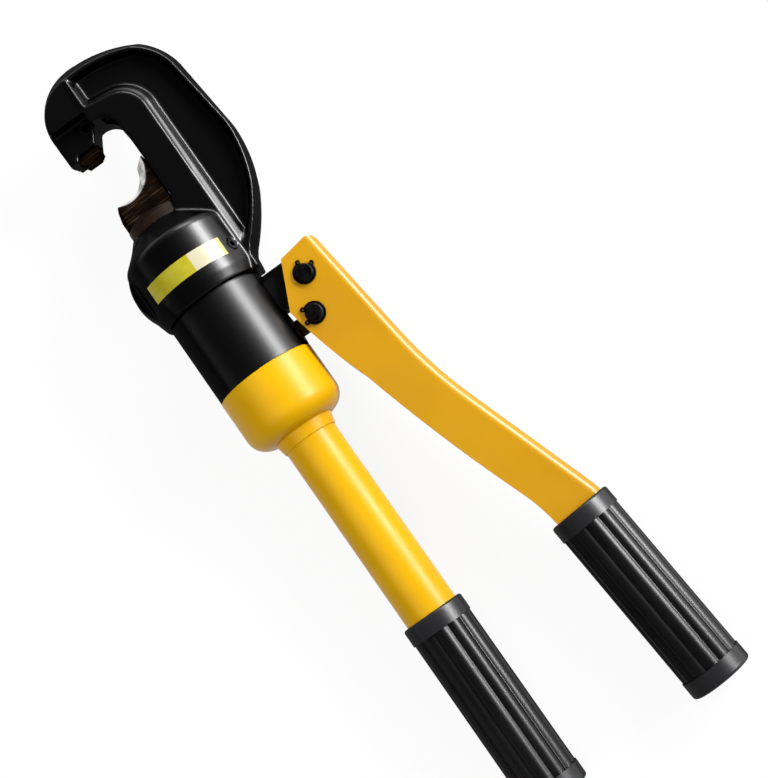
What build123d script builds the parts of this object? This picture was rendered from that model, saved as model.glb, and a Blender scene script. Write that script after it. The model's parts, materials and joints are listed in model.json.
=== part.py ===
from build123d import *
import os
from math import atan2, cos, pi, radians, sin, sqrt, tan

# Hand-pumped hydraulic rebar cutter, lying flat. Lengths in millimetres, angles in degrees.
# Origin: centre of the fixed grip's end face. +Y runs along the ram to the head, +X to the pump lever,
# +Z is the upper side as it lies. A station is a distance along +Y.

os.makedirs("parts", exist_ok=True)

# Fits
running_gap = 0.05
guide_gap = 0.1
shear_gap = 0.1
seat_gap = 0.03
slot_side_gap = 0.15
slot_floor_gap = 0.2
slot_end_gap = 0.4
clip_side_gap = 0.25
stud_gap = 0.2
bladder_gap = 0.5
tolerance = 0.01

# Grips, one moulding used on both handles
grip_length = 113.0
grip_radius = 18.0
grip_collar = 9.8
grip_end_wall = 5.0
grip_rim_round = 1.6
ridge_radius = 17.4
flute_count = 12
ridge_round = 5.0
flute_round = 1.0

# Fixed handle tube with its end plug
tube_radius = 15.15
tube_wall = 2.2
tube_bore = tube_radius - tube_wall
tube_start = 5.2
tube_end = 236.0
plug_length = 12.0
plug_vent = 1.5
plug_key = 8.0
plug_key_depth = 6.0

# Oil reservoir bell
neck_start = 224.0
neck_small_radius = 15.9
neck_large_radius = 17.3
neck_round = 0.5
bell_start = 230.7
bell_end = 266.2
bell_radius = 28.6
bell_corner = 11.1
bell_rim = 0.6
bell_mouth_radius = 25.0
bell_floor = 234.2
bell_floor_corner = 7.5

# Oil bladder and its clamp
bladder_wall = 1.6
bladder_tip = 44.0
bladder_tip_round = 6.0
bladder_tube_radius = tube_bore - bladder_gap
bladder_bag_radius = 17.5
bladder_flange = 2.0
bladder_neck_start = bell_floor + 3.0
bladder_neck_end = bell_floor + 9.0
clamp_thickness = 2.5
clamp_radius = bell_mouth_radius - 1.0
clamp_screw_circle = 21.3
clamp_screw_count = 6
clamp_screw_turn = 30.0
clamp_screw_radius = 1.5
clamp_screw_depth = 4.6
clamp_screw_head = 2.7
clamp_screw_head_height = 2.4
clamp_screw_key = 2.5

# Cylinder body
body_radius = 28.4
body_rear = 254.0
body_front = 338.0
spigot_radius = 27.0
bore_bottom = 294.0
collar_groove = 1.4
seal_ring_station = 259.0
seal_ring_section = 2.6

# Ram
ram_radius = 17.4
ram_rear = 295.0
ram_front = 372.0
ram_stroke = 31.4
ram_hollow_radius = 9.5
ram_hollow_end = 360.0
ram_edge = 0.8
ram_seal_start = 296.6
ram_seal_width = 6.0
backup_ring_width = 2.0
ram_seal_radius = 14.2
tongue_top = 384.0
tongue_half = 11.0
tongue_depth = 11.0

# Head
collar_rear = 314.2
collar_rear_radius = 30.0
collar_taper_end = 321.2
collar_radius = 32.2
collar_round_start = 348.0
collar_round = (31.9, 351.1)
collar_front = 353.2
collar_front_radius = 30.6
cone_front = 365.7
ridge_height = 13.0
band_height = 14.0
hollow_floor_height = 7.0
hollow_shoulder_height = 11.0
spigot_seat = 338.3
guide_bore_front = 404.0
jaw_flat_height = 5.0
jaw_clear = 413.0
through = 30.0

# Screws in the head
jaw_screw_at = (-3.0, 434.5)
jaw_screw_radius = 2.2
jaw_screw_end = 4.2
jaw_screw_key = 2.5
jaw_recess_depth = 0.5
lock_screw_angle = 33.0
lock_screw_station = 331.0
lock_screw_end = 32.0
guide_screw_station = 345.0
guide_screw_end = 31.5
head_screw_radius = 3.0
head_screw_key = 3.0
key_depth = 3.0
screw_reach = 40.0
dog_radius = 2.0
dog_tip = 15.2

# Blank sticker
label_thickness = 0.25
label_start = 326.2
label_end = 336.8
label_from = 46.0
label_sweep = 90.0

# Blades
blade_thickness = 10.9
notch_centre = (-6.5, 400.3)
notch_radius = 13.2
horn_lip = 398.9
horn_top = 401.4
horn_right = 13.5
horn_room_gap = 0.4
horn_room_start = 403.0
bevel_land = 3.4
bevel_centre = (-5.0, 401.2)
bevel_radius = 17.6
blade_left = -16.6
blade_screw_at = (0.0, 378.4)
blade_screw_radius = 3.0
blade_screw_head = 5.0
blade_screw_seat = -5.5
blade_screw_foot = -10.6
blade_screw_tip = 8.6
blade_thread_end = 9.0
blade_screw_key = 5.0
fixed_blade_edge = 418.2
fixed_blade_top = 441.0
fixed_blade_left = -17.5
fixed_blade_right = -4.4
fixed_blade_step = 426.6
fixed_blade_heel = (-1.9, 433.5)
fixed_corner_left = (1.9, 3.0)
fixed_corner_right = (3.2, 2.2)

# Return spring and its anchors
spring_mean_radius = 6.8
spring_wire = 1.1
spring_pitch = 3.1
spring_turns = 17
spring_start = 298.4
spring_end = spring_start + spring_pitch * spring_turns
spring_grip = 6.0
stud_radius = spring_mean_radius - spring_wire - stud_gap
anchor_shank = 3.0
anchor_depth = 7.0
anchor_shoulder = 2.0
anchor_rim = 1.6
front_anchor_gap = 2.2

# Lever pivot, lug and pins
pivot = (48.7, 296.5)
pin_radius = 5.0
pin_length = 30.0
pin_edge = 0.8
bush_radius = 7.0
lug_half = 7.5
lug_top = 310.4
lug_bottom = 287.7
lug_root = 20.0
lug_shoulder = 44.7
lug_heel = 47.7
lug_nose = (60.2, 297.6)
lug_crown = 4.5
washer_radius = 9.0
washer_gap = 0.15

# Clips on the pins
clip_thickness = 1.0
clip_inner = 4.5
clip_outer = 6.3
clip_gap_half = 24.0
clip_ear_turn = 10.0
clip_ear_radius = 1.5
clip_ear_hole = 0.6
clip_groove_radius = 4.45
clip_groove_width = 1.1

# Pump plunger, its bore, seal and gland
plunger_at = (40.8, 275.9)
plunger_radius = 5.0
plunger_inner_end = 2.2
plunger_edge = 0.6
chamber_radius = 5.6
chamber_end = -2.0
seal_inner = 15.2
gland_inner = 17.4
gland_radius = 8.0
gland_flange_radius = 9.0
gland_seat_gap = 0.3
gland_slot = 2.4
gland_slot_depth = 1.7
pump_flat = 25.5
eye_half = 7.2
eye_wall = 2.9
eye_shift = 0.1
slot_play = 0.5
pin_drift = 3.2

# Valves: all balls are alike
ball_radius = 2.5
seat_hole = 1.2
seat_lift = sqrt(ball_radius**2 - seat_hole**2) + seat_gap
valve_bore = 3.5
valve_key = 3.5
inlet_x = 4.0
inlet_seat_face = 258.5
inlet_chamber_end = 264.2
inlet_key_depth = 2.0
strainer_radius = 6.0
strainer_thickness = 0.8
strainer_hole = 0.45
strainer_pitch = 1.4
outlet_x = 10.5
outlet_seat_face = 283.4
outlet_retainer_face = 291.8
outlet_wire = 0.3
outlet_coil = 2.3
outlet_spring_start = 287.6
outlet_pitch = 1.2
outlet_turns = 3
relief_x = -10.0
relief_bore = 4.0
relief_seat_face = 284.0
relief_screw_face = 262.6
relief_wire = 0.7
relief_coil = 2.7
relief_spring_start = 263.5
relief_pitch = 2.7
relief_turns = 6
relief_vent = 1.0

# Release screw
release_angle = 225.0
release_station = 286.0
release_seat = 11.5
release_bore = 4.2
release_point = 3.0
release_passage = 4.0
feed_radius = release_seat - 3.0
return_radius = release_seat + 2.0
knob_radius = 7.0
knob_inner = 29.2
knob_outer = 35.4
knob_edge = 0.7
knob_flutes = 12
knob_flute_radius = 1.1
knob_flute_offset = 0.5

# Lever: a pressed channel that is open towards the fixed handle
lever_half = 12.3
lever_tail_half = 8.4
lever_sheet = 2.8
lever_bend = 5.5
lever_depth = 45.0
back_top = (63.4, 318.0)
back_lean = 6.65
back_run = 76.5
knee_radius = 243.7
knee_turn = 11.85
shin_run = 74.6
ankle_radius = 60.0
tail_lean = 4.42
tail_run = 8.0
tail_radius = 15.1
tail_tube_start = 4.0
tail_tube_length = 96.0
lever_grip_mouth = (94.1, 113.3)


def across(station):
    """Plane square to the tool axis at a station, facing the head."""
    return Plane(origin=(0, station, 0), x_dir=(1, 0, 0), z_dir=(0, 1, 0))


def beside(x, z=0.0):
    """Plane square to the tool axis at station zero, shifted off the axis."""
    return Plane(origin=(x, 0, z), x_dir=(1, 0, 0), z_dir=(0, 1, 0))


def radial(angle, station):
    """Plane facing outward from the tool axis; the angle turns from +X towards +Z."""
    out = (cos(radians(angle)), 0, sin(radians(angle)))
    return Plane(origin=(0, station, 0), x_dir=(0, 1, 0), z_dir=out)


def upright(at):
    """Horizontal plane with its origin on a point of the tool's middle plane."""
    return Plane(origin=(*at, 0))


def lathe(points, mode=Mode.ADD):
    """Turns a closed outline of (radius, station) points about the tool axis."""
    with BuildSketch(Plane.XY) as outline:
        with BuildLine():
            Polyline(*points, close=True)
        make_face()
    revolve(outline.sketch, axis=Axis.Y, mode=mode)


def drum(plane, radius, start, end, mode=Mode.ADD):
    """Round bar or hole along a plane's normal, between two distances from its origin."""
    with BuildSketch(plane.offset(start)) as disc:
        Circle(radius)
    extrude(disc.sketch, amount=end - start, mode=mode)


def hex_recess(plane, key, depth):
    """Hexagonal recess for a key of the given size across flats; a negative depth goes against the normal."""
    with BuildSketch(plane) as recess:
        RegularPolygon(key / 2, 6, major_radius=False)
    extrude(recess.sketch, amount=depth, mode=Mode.SUBTRACT)


def closed_outline(points, bulges):
    """Straight runs between the points, with arcs where a run has a point to bulge through."""
    for index, point in enumerate(points):
        following = points[(index + 1) % len(points)]
        if index in bulges:
            ThreePointArc(point, bulges[index], following)
        else:
            Line(point, following)


def outline_face(plane, points, bulges):
    with BuildSketch(plane) as sketch:
        with BuildLine():
            closed_outline(points, bulges)
        make_face()
    return sketch.sketch


def finish(piece, name):
    piece.label = name
    export_step(piece, f"parts/{name}.step")


def ring(inner, outer, start, end):
    """Plain ring about the tool axis."""
    with BuildPart() as piece:
        lathe([(inner, start), (outer, start), (outer, end), (inner, end)])
    return piece.part


def grub_screw(plane, radius, start, end, key):
    """Headless screw with a hexagonal recess in its outer end."""
    with BuildPart() as screw:
        drum(plane, radius, start, end)
        hex_recess(plane.offset(end), key, -key_depth)
    return screw.part


def ball(x, station):
    with BuildPart() as sphere:
        with Locations((x, station, 0)):
            Sphere(ball_radius)
    return sphere.part


def grip_moulding():
    """Fluted sleeve with plain collars and a closed end, standing on the origin along +Y."""
    ridge_centre = ridge_radius - ridge_round
    half_pitch = 180.0 / flute_count
    touch = ridge_round + flute_round
    swing = ridge_centre * cos(radians(half_pitch))
    flute_centre = swing + sqrt(swing**2 - ridge_centre**2 + touch**2)

    def polar(radius, angle):
        return Vector(radius * cos(radians(angle)), radius * sin(radians(angle)))

    with BuildPart() as sleeve:
        with BuildSketch(across(grip_collar)):
            with BuildLine():
                for index in range(flute_count):
                    middle = 2 * half_pitch * index
                    ridge = polar(ridge_centre, middle)
                    before = polar(flute_centre, middle - half_pitch)
                    after = polar(flute_centre, middle + half_pitch)
                    start = ridge + (before - ridge) * (ridge_round / touch)
                    end = ridge + (after - ridge) * (ridge_round / touch)
                    ThreePointArc(start, polar(ridge_radius, middle), end)
                    following = polar(ridge_centre, middle + 2 * half_pitch)
                    next_start = following + (after - following) * (ridge_round / touch)
                    ThreePointArc(end, polar(flute_centre - flute_round, middle + half_pitch), next_start)
            make_face()
        extrude(amount=grip_length - 2 * grip_collar)
        drum(across(0), grip_radius, 0, grip_collar)
        drum(across(0), grip_radius, grip_length - grip_collar, grip_length)
        rims = sleeve.edges().filter_by(GeomType.CIRCLE).group_by(Axis.Y)
        fillet([rims[0].sort_by(SortBy.RADIUS)[-1], rims[-1].sort_by(SortBy.RADIUS)[-1]], grip_rim_round)
        drum(across(0), tube_radius, grip_end_wall, grip_length, Mode.SUBTRACT)
    return sleeve.part


def coil(plane, mean_radius, wire_radius, pitch, turns):
    """Round-wire coil along a plane's normal; each half turn of its path is two arcs that meet smoothly."""
    rise = pitch / (2 * pi)

    def on_path(angle):
        return Vector(mean_radius * cos(angle), mean_radius * sin(angle), rise * angle)

    def heading(angle):
        return Vector(-mean_radius * sin(angle), mean_radius * cos(angle), rise).normalized()

    def arc(start, corner, end):
        chord_middle = (start + end) * 0.5
        to_corner = corner - chord_middle
        half_chord = (end - start).length / 2
        lean = atan2(to_corner.length, half_chord)
        ThreePointArc(start, chord_middle + to_corner.normalized() * half_chord * tan(lean / 2), end)

    with BuildPart() as wire:
        with BuildLine() as path:
            for half_turn in range(2 * turns):
                first, last = half_turn * pi, (half_turn + 1) * pi
                start, end = on_path(first), on_path(last)
                span = end - start
                leave, arrive = heading(first), heading(last)
                across_sum = span.dot(leave + arrive)
                bend = 2 * (1 - leave.dot(arrive))
                reach = (-across_sum + sqrt(across_sum**2 + bend * span.dot(span))) / bend
                near, far = start + leave * reach, end - arrive * reach
                meet = (near + far) * 0.5
                arc(start, near, meet)
                arc(meet, far, end)
        with BuildSketch(Plane(path.line @ 0, z_dir=path.line % 0)):
            Circle(wire_radius)
        sweep()
    return wire.part.moved(plane.location)


def circlip(at, height, gap_angle):
    """Spring ring with two eared ends, its lower face at a height over the tool's middle plane."""
    ear_start = gap_angle - clip_gap_half - clip_ear_turn
    ear_range = 2 * (clip_gap_half + clip_ear_turn)
    gap_reach = 4 * clip_outer
    gap_side = gap_reach * tan(radians(clip_gap_half))
    with BuildPart() as clip:
        with BuildSketch(Plane(origin=(*at, height))):
            Circle(clip_outer)
            with PolarLocations(clip_outer, 2, ear_start, ear_range, endpoint=True):
                Circle(clip_ear_radius)
            Circle(clip_inner, mode=Mode.SUBTRACT)
            with Locations(Rotation(0, 0, gap_angle)):
                Polygon((0, 0), (gap_reach, gap_side), (gap_reach, -gap_side), align=None, mode=Mode.SUBTRACT)
            with PolarLocations(clip_outer, 2, ear_start, ear_range, endpoint=True):
                Circle(clip_ear_hole, mode=Mode.SUBTRACT)
        extrude(amount=clip_thickness)
    return clip.part


clip_height = lever_half + clip_side_gap


def grooved_pin(at):
    """Pin through the lever with a clip groove near each end."""
    groove_start = clip_height - (clip_groove_width - clip_thickness) / 2
    with BuildPart() as pin:
        drum(upright(at), pin_radius, -pin_length / 2, pin_length / 2)
        chamfer(pin.edges().filter_by(GeomType.CIRCLE), pin_edge)
        for side in (1, -1):
            with BuildSketch(Plane(origin=(*at, side * groove_start))) as groove:
                Circle(pin_radius)
                Circle(clip_groove_radius, mode=Mode.SUBTRACT)
            extrude(groove.sketch, amount=side * clip_groove_width, mode=Mode.SUBTRACT)
    return pin.part


# Fixed handle: grip, tube, end plug
finish(grip_moulding(), "fixed_grip")
finish(ring(tube_bore, tube_radius, tube_start, tube_end), "handle_tube")

with BuildPart() as tube_plug:
    drum(across(tube_start), tube_bore, 0, plug_length)
    drum(across(tube_start), plug_vent, 0, plug_length, Mode.SUBTRACT)
    hex_recess(across(tube_start), plug_key, plug_key_depth)
finish(tube_plug.part, "tube_end_plug")

# Reservoir bell with its neck
with BuildPart() as bell:
    shoulder = (bell_radius - bell_corner, bell_start)
    shoulder_end = (bell_radius, bell_start + bell_corner)
    corner_reach = bell_corner * (1 - cos(pi / 4))
    with BuildSketch(Plane.XY) as bell_outline:
        with BuildLine():
            Polyline((tube_radius, neck_start), (neck_small_radius, neck_start),
                     (neck_large_radius, bell_start), shoulder)
            ThreePointArc(shoulder, (bell_radius - corner_reach, bell_start + corner_reach), shoulder_end)
            Polyline(shoulder_end, (bell_radius, bell_end - bell_rim), (bell_radius - bell_rim, bell_end),
                     (bell_mouth_radius, bell_end), (bell_mouth_radius, bell_floor + bell_floor_corner),
                     (bell_mouth_radius - bell_floor_corner, bell_floor), (tube_radius, bell_floor),
                     (tube_radius, neck_start))
        make_face()
    revolve(axis=Axis.Y)
    neck_edge = bell.edges().filter_by(GeomType.CIRCLE).group_by(Axis.Y)[0].sort_by(SortBy.RADIUS)[-1]
    fillet(neck_edge, neck_round)
finish(bell.part, "reservoir_bell")

# Oil bladder hanging in the bell and the tube, its flange clamped on the body's rear face
flange_rear = body_rear - bladder_flange
with BuildPart() as bladder:
    tip_centre = (bladder_tube_radius - bladder_tip_round, bladder_tip + bladder_tip_round)
    bag_bore = bladder_bag_radius - bladder_wall
    tube_side = bladder_tube_radius - bladder_wall
    with BuildSketch(Plane.XY) as bladder_outline:
        with BuildLine():
            Line((0, bladder_tip), (tip_centre[0], bladder_tip))
            CenterArc(tip_centre, bladder_tip_round, -90, 90)
            Polyline((bladder_tube_radius, tip_centre[1]), (bladder_tube_radius, bladder_neck_start),
                     (bladder_bag_radius, bladder_neck_end), (bladder_bag_radius, flange_rear),
                     (clamp_radius, flange_rear), (clamp_radius, body_rear), (bag_bore, body_rear),
                     (bag_bore, bladder_neck_end), (tube_side, bladder_neck_start),
                     (tube_side, tip_centre[1]))
            CenterArc(tip_centre, bladder_tip_round - bladder_wall, -90, 90)
            Polyline((tip_centre[0], bladder_tip + bladder_wall), (0, bladder_tip + bladder_wall),
                     (0, bladder_tip))
        make_face()
    revolve(axis=Axis.Y)
    with BuildSketch(across(body_rear)) as bladder_holes:
        with PolarLocations(clamp_screw_circle, clamp_screw_count, clamp_screw_turn):
            Circle(clamp_screw_radius + guide_gap)
    extrude(bladder_holes.sketch, amount=-bladder_flange, mode=Mode.SUBTRACT)
finish(bladder.part, "oil_bladder")

clamp_face = flange_rear - clamp_thickness
with BuildPart() as clamp_ring:
    lathe([(bladder_bag_radius, clamp_face), (clamp_radius, clamp_face), (clamp_radius, flange_rear),
           (bladder_bag_radius, flange_rear)])
    with BuildSketch(across(clamp_face)) as clamp_holes:
        with PolarLocations(clamp_screw_circle, clamp_screw_count, clamp_screw_turn):
            Circle(clamp_screw_radius + guide_gap)
    extrude(clamp_holes.sketch, amount=clamp_thickness, mode=Mode.SUBTRACT)
finish(clamp_ring.part, "bladder_clamp_ring")

with BuildPart() as clamp_screws:
    with BuildSketch(across(clamp_face)) as screw_shanks:
        with PolarLocations(clamp_screw_circle, clamp_screw_count, clamp_screw_turn):
            Circle(clamp_screw_radius)
    extrude(screw_shanks.sketch, amount=body_rear - clamp_face + clamp_screw_depth)
    with BuildSketch(across(clamp_face)) as screw_heads:
        with PolarLocations(clamp_screw_circle, clamp_screw_count, clamp_screw_turn):
            Circle(clamp_screw_head)
            RegularPolygon(clamp_screw_key / 2, 6, major_radius=False, mode=Mode.SUBTRACT)
    extrude(screw_heads.sketch, amount=-clamp_screw_head_height)
finish(clamp_screws.part, "bladder_clamp_screws")

# Cylinder body with its pump block, lever lug and valve passages
pump_plane = radial(0, plunger_at[1])
inlet_plane = beside(inlet_x)
outlet_plane = beside(outlet_x)
relief_plane = beside(relief_x)
release_plane = radial(release_angle, release_station)
release_out = (cos(radians(release_angle)), sin(radians(release_angle)))
seal_ring_bore = bell_mouth_radius - seal_ring_section
lug_outline = [(lug_root, lug_bottom), (lug_root, lug_top), (lug_shoulder, lug_top), (lug_heel, lug_bottom)]
lug_bulges = {2: lug_nose}

with BuildPart() as body:
    lathe([(0, body_rear), (bell_mouth_radius, body_rear), (bell_mouth_radius, bell_end),
           (body_radius, bell_end), (body_radius, collar_rear - collar_groove),
           (spigot_radius, collar_rear - collar_groove), (spigot_radius, body_front), (0, body_front)])
    extrude(outline_face(Plane.XY.offset(-lug_half), lug_outline, lug_bulges), amount=2 * lug_half)
    crown_edges = body.edges().filter_by(
        lambda edge: edge.center().X > body_radius and abs(abs(edge.center().Z) - lug_half) < tolerance
        and edge.center().Y > lug_top - tolerance)
    chamfer(crown_edges, lug_crown)
    # Round seat for the pump gland
    drum(pump_plane, gland_flange_radius + gland_seat_gap, pump_flat, body_radius, Mode.SUBTRACT)
    # Cylinder bore and pivot hole
    drum(across(0), ram_radius + running_gap, bore_bottom, body_front, Mode.SUBTRACT)
    drum(upright(pivot), bush_radius, -lug_half, lug_half, Mode.SUBTRACT)
    # Pump chamber with the seat of the seal and the gland
    drum(pump_plane, chamber_radius, chamber_end, pump_flat, Mode.SUBTRACT)
    drum(pump_plane, gland_radius, seal_inner, pump_flat, Mode.SUBTRACT)
    # Inlet from the reservoir, outlet to the cylinder, relief back to the reservoir
    drum(inlet_plane, valve_bore, body_rear, inlet_chamber_end, Mode.SUBTRACT)
    drum(inlet_plane, seat_hole, inlet_chamber_end, plunger_at[1], Mode.SUBTRACT)
    drum(outlet_plane, valve_bore, outlet_seat_face, bore_bottom, Mode.SUBTRACT)
    drum(outlet_plane, seat_hole, plunger_at[1], outlet_seat_face, Mode.SUBTRACT)
    drum(relief_plane, relief_bore, body_rear, relief_seat_face, Mode.SUBTRACT)
    drum(relief_plane, seat_hole, relief_seat_face, bore_bottom, Mode.SUBTRACT)
    # Release valve: cross bore, feed from the cylinder, return to the reservoir
    drum(release_plane, release_bore, release_seat, body_radius, Mode.SUBTRACT)
    drum(release_plane, seat_hole, release_seat - release_passage, release_seat, Mode.SUBTRACT)
    feed_plane = beside(feed_radius * release_out[0], feed_radius * release_out[1])
    return_plane = beside(return_radius * release_out[0], return_radius * release_out[1])
    drum(feed_plane, seat_hole, release_station, bore_bottom, Mode.SUBTRACT)
    drum(return_plane, seat_hole, body_rear, release_station, Mode.SUBTRACT)
    # Spring anchor thread, clamp screw threads, seal ring groove
    drum(across(0), anchor_shank, bore_bottom - anchor_depth, bore_bottom, Mode.SUBTRACT)
    with BuildSketch(across(body_rear)) as clamp_taps:
        with PolarLocations(clamp_screw_circle, clamp_screw_count, clamp_screw_turn):
            Circle(clamp_screw_radius)
    extrude(clamp_taps.sketch, amount=clamp_screw_depth, mode=Mode.SUBTRACT)
    lathe([(seal_ring_bore, seal_ring_station), (bell_mouth_radius, seal_ring_station),
           (bell_mouth_radius, seal_ring_station + seal_ring_section),
           (seal_ring_bore, seal_ring_station + seal_ring_section)], Mode.SUBTRACT)
finish(body.part, "cylinder_body")

finish(ring(seal_ring_bore, bell_mouth_radius, seal_ring_station, seal_ring_station + seal_ring_section),
       "bell_seal_ring")

with BuildPart() as pivot_bush:
    drum(upright(pivot), bush_radius, -lug_half, lug_half)
    drum(upright(pivot), pin_radius + running_gap, -lug_half, lug_half, Mode.SUBTRACT)
finish(pivot_bush.part, "lever_pivot_bush")

# Pump gland nut with a cross slot, and the plunger seal behind it
with BuildPart() as gland:
    drum(pump_plane, gland_radius, gland_inner, pump_flat)
    drum(pump_plane, gland_flange_radius, pump_flat, body_radius)
    drum(pump_plane, plunger_radius + running_gap, gland_inner, body_radius, Mode.SUBTRACT)
    with BuildSketch(pump_plane.offset(body_radius)) as gland_slots:
        Rectangle(gland_slot, 2 * gland_flange_radius)
    extrude(gland_slots.sketch, amount=-gland_slot_depth, mode=Mode.SUBTRACT)
finish(gland.part, "pump_gland_nut")

with BuildPart() as plunger_seal:
    drum(pump_plane, gland_radius, seal_inner, gland_inner)
    drum(pump_plane, plunger_radius + running_gap, seal_inner, gland_inner, Mode.SUBTRACT)
finish(plunger_seal.part, "plunger_seal")

# Inlet valve: seat plug, ball, strainer disc
with BuildPart() as inlet_seat:
    drum(inlet_plane, valve_bore, body_rear, inlet_seat_face)
    drum(inlet_plane, seat_hole, body_rear, inlet_seat_face, Mode.SUBTRACT)
    hex_recess(inlet_plane.offset(body_rear), valve_key, inlet_key_depth)
finish(inlet_seat.part, "inlet_valve_seat")
finish(ball(inlet_x, inlet_seat_face + seat_lift), "inlet_check_ball")

with BuildPart() as strainer:
    drum(inlet_plane, strainer_radius, body_rear - strainer_thickness, body_rear)
    with BuildSketch(inlet_plane.offset(body_rear)) as strainer_holes:
        with GridLocations(strainer_pitch, strainer_pitch, 3, 3):
            Circle(strainer_hole)
    extrude(strainer_holes.sketch, amount=-strainer_thickness, mode=Mode.SUBTRACT)
finish(strainer.part, "suction_strainer")

# Outlet valve: ball, spring, retainer
finish(ball(outlet_x, outlet_seat_face + seat_lift), "outlet_check_ball")
finish(coil(outlet_plane.offset(outlet_spring_start), outlet_coil, outlet_wire, outlet_pitch, outlet_turns),
       "outlet_valve_spring")
with BuildPart() as outlet_retainer:
    drum(outlet_plane, valve_bore, outlet_retainer_face, bore_bottom)
    hex_recess(outlet_plane.offset(outlet_retainer_face), valve_key, bore_bottom - outlet_retainer_face)
finish(outlet_retainer.part, "outlet_valve_retainer")

# Relief valve: ball, spring, adjusting screw
finish(ball(relief_x, relief_seat_face - seat_lift), "relief_valve_ball")
finish(coil(relief_plane.offset(relief_spring_start), relief_coil, relief_wire, relief_pitch, relief_turns),
       "relief_valve_spring")
with BuildPart() as relief_screw:
    drum(relief_plane, relief_bore, body_rear, relief_screw_face)
    drum(relief_plane, relief_vent, body_rear, relief_screw_face, Mode.SUBTRACT)
    hex_recess(relief_plane.offset(body_rear), valve_key, key_depth)
finish(relief_screw.part, "relief_adjusting_screw")

# Release valve: fluted thumb screw with a conical point
with BuildPart() as release_screw:
    shank_radius = release_bore - running_gap
    with BuildSketch(release_plane.offset(release_seat)) as point_small:
        Circle(seat_hole - running_gap)
    with BuildSketch(release_plane.offset(release_seat + release_point)) as point_large:
        Circle(shank_radius)
    loft([point_small.sketch.face(), point_large.sketch.face()], ruled=True)
    drum(release_plane, shank_radius, release_seat + release_point, knob_inner)
    drum(release_plane, knob_radius, knob_inner, knob_outer)
    knob_rims = release_screw.edges().filter_by(GeomType.CIRCLE).filter_by(
        lambda edge: abs(edge.radius - knob_radius) < tolerance)
    chamfer(knob_rims, knob_edge)
    with BuildSketch(release_plane.offset(knob_inner)) as knob_grooves:
        with PolarLocations(knob_radius + knob_flute_offset, knob_flutes):
            Circle(knob_flute_radius)
    extrude(knob_grooves.sketch, amount=knob_outer - knob_inner, mode=Mode.SUBTRACT)
finish(release_screw.part, "release_screw")

# Head: outline of the hook at its parting plane, and of the ridge that its drafted flanks rise to
hook_outline = [(-22.6, 420.5), (-23.0, 440.0), (6.0, 469.0), (47.1, 457.1), (59.3, 434.0), (63.5, 388.0),
                (55.9, 353.4), (36.6, 325.9), (32.9, 321.5), (32.2, collar_rear), (-28.6, collar_rear),
                (-31.4, 320.5), (-31.4, 351.0), (-16.0, 366.5)]
hook_bulges = {1: (-14.5, 460.5), 2: (28.0, 465.9), 3: (54.5, 447.8), 5: (62.0, 372.5), 6: (46.6, 338.6),
               11: (-35.9, 335.0)}
ridge_outline = [(-20.6, 420.5), (-21.0, 440.0), (5.0, 460.6), (42.6, 453.7), (56.3, 433.5), (62.0, 388.0),
                 (54.4, 353.9), (34.8, 327.2), (31.8, 322.6), (31.1, collar_rear), (-27.6, collar_rear),
                 (-29.9, 321.4), (-29.6, 350.0), (-15.0, 366.0)]
ridge_bulges = {1: (-13.0, 454.9), 2: (23.6, 459.6), 3: (50.2, 446.4), 5: (60.4, 373.0), 6: (45.3, 339.4),
                11: (-34.0, 335.0)}
# Flat band round the throat and over the jaw, with a narrow rib out to the rim
band_outline = [(-20.6, 421.0), (-20.6, 439.5), (2.0, 439.5), (2.0, 459.4), (3.6, 459.7), (3.6, 440.8),
                (17.0, 438.8), (31.7, 421.0), (31.0, 354.0), (31.0, 330.0), (0.0, 330.0), (0.0, 421.0)]
band_bulges = {6: (28.2, 432.6)}
# Hollow in each flank, at its rim, at the shoulder of its rib and at its floor
hollow_rim = [(4.0, 441.2), (4.0, 458.9), (41.6, 452.2), (54.6, 433.0), (60.2, 388.0), (52.8, 354.6),
              (34.4, 330.6), (31.9, 330.6), (31.9, 355.0), (31.7, 421.0), (18.0, 438.6)]
hollow_rim_bulges = {1: (23.4, 457.9), 2: (48.8, 445.4), 4: (58.6, 373.4), 5: (43.9, 340.6), 9: (28.4, 432.8)}
hollow_shoulder = [(5.2, 443.4), (5.2, 458.2), (41.3, 451.7), (54.1, 432.8), (59.7, 388.0), (52.3, 354.9),
                   (35.8, 333.4), (34.4, 333.4), (34.6, 355.2), (34.6, 421.0), (19.4, 441.6)]
hollow_shoulder_bulges = {1: (23.4, 457.3), 2: (48.4, 445.0), 4: (58.1, 373.5), 5: (44.0, 341.7),
                          9: (30.7, 434.9)}
hollow_floor = [(6.8, 445.2), (6.8, 456.8), (40.6, 450.8), (53.2, 432.4), (58.7, 388.0), (51.4, 355.6),
                (37.4, 336.2), (36.0, 336.2), (36.3, 355.6), (36.6, 421.0), (20.2, 443.4)]
hollow_floor_bulges = {1: (23.4, 456.2), 2: (47.5, 444.2), 4: (57.1, 373.8), 5: (44.1, 343.4),
                       9: (32.2, 436.2)}
# Throat, open to -X
throat_outline = [(-60.0, 421.0), (-5.0, 421.0), (-4.6, 423.0), (0.24, 431.6), (13.0, 420.5), (14.0, 411.0),
                  (14.4, 376.0), (12.4, 366.5), (12.4, cone_front), (-60.0, cone_front)]
throat_bulges = {3: (10.1, 429.0), 6: (14.0, 370.8)}
# Thinned upper face of the jaw, its relief over the moving blade, the pocket that takes the blade's horn
jaw_flat = [(-30.0, jaw_clear), (-30.0, 439.5), (0.2, 439.5), (1.2, 438.5), (1.2, jaw_clear)]
jaw_relief = [(-15.4, 424.0), (-20.5, jaw_clear), (6.0, jaw_clear), (6.0, 424.0)]
horn_room = [(7.4, horn_room_start), (7.4, 433.4), (14.0, 433.4), (14.0, horn_room_start)]
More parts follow.
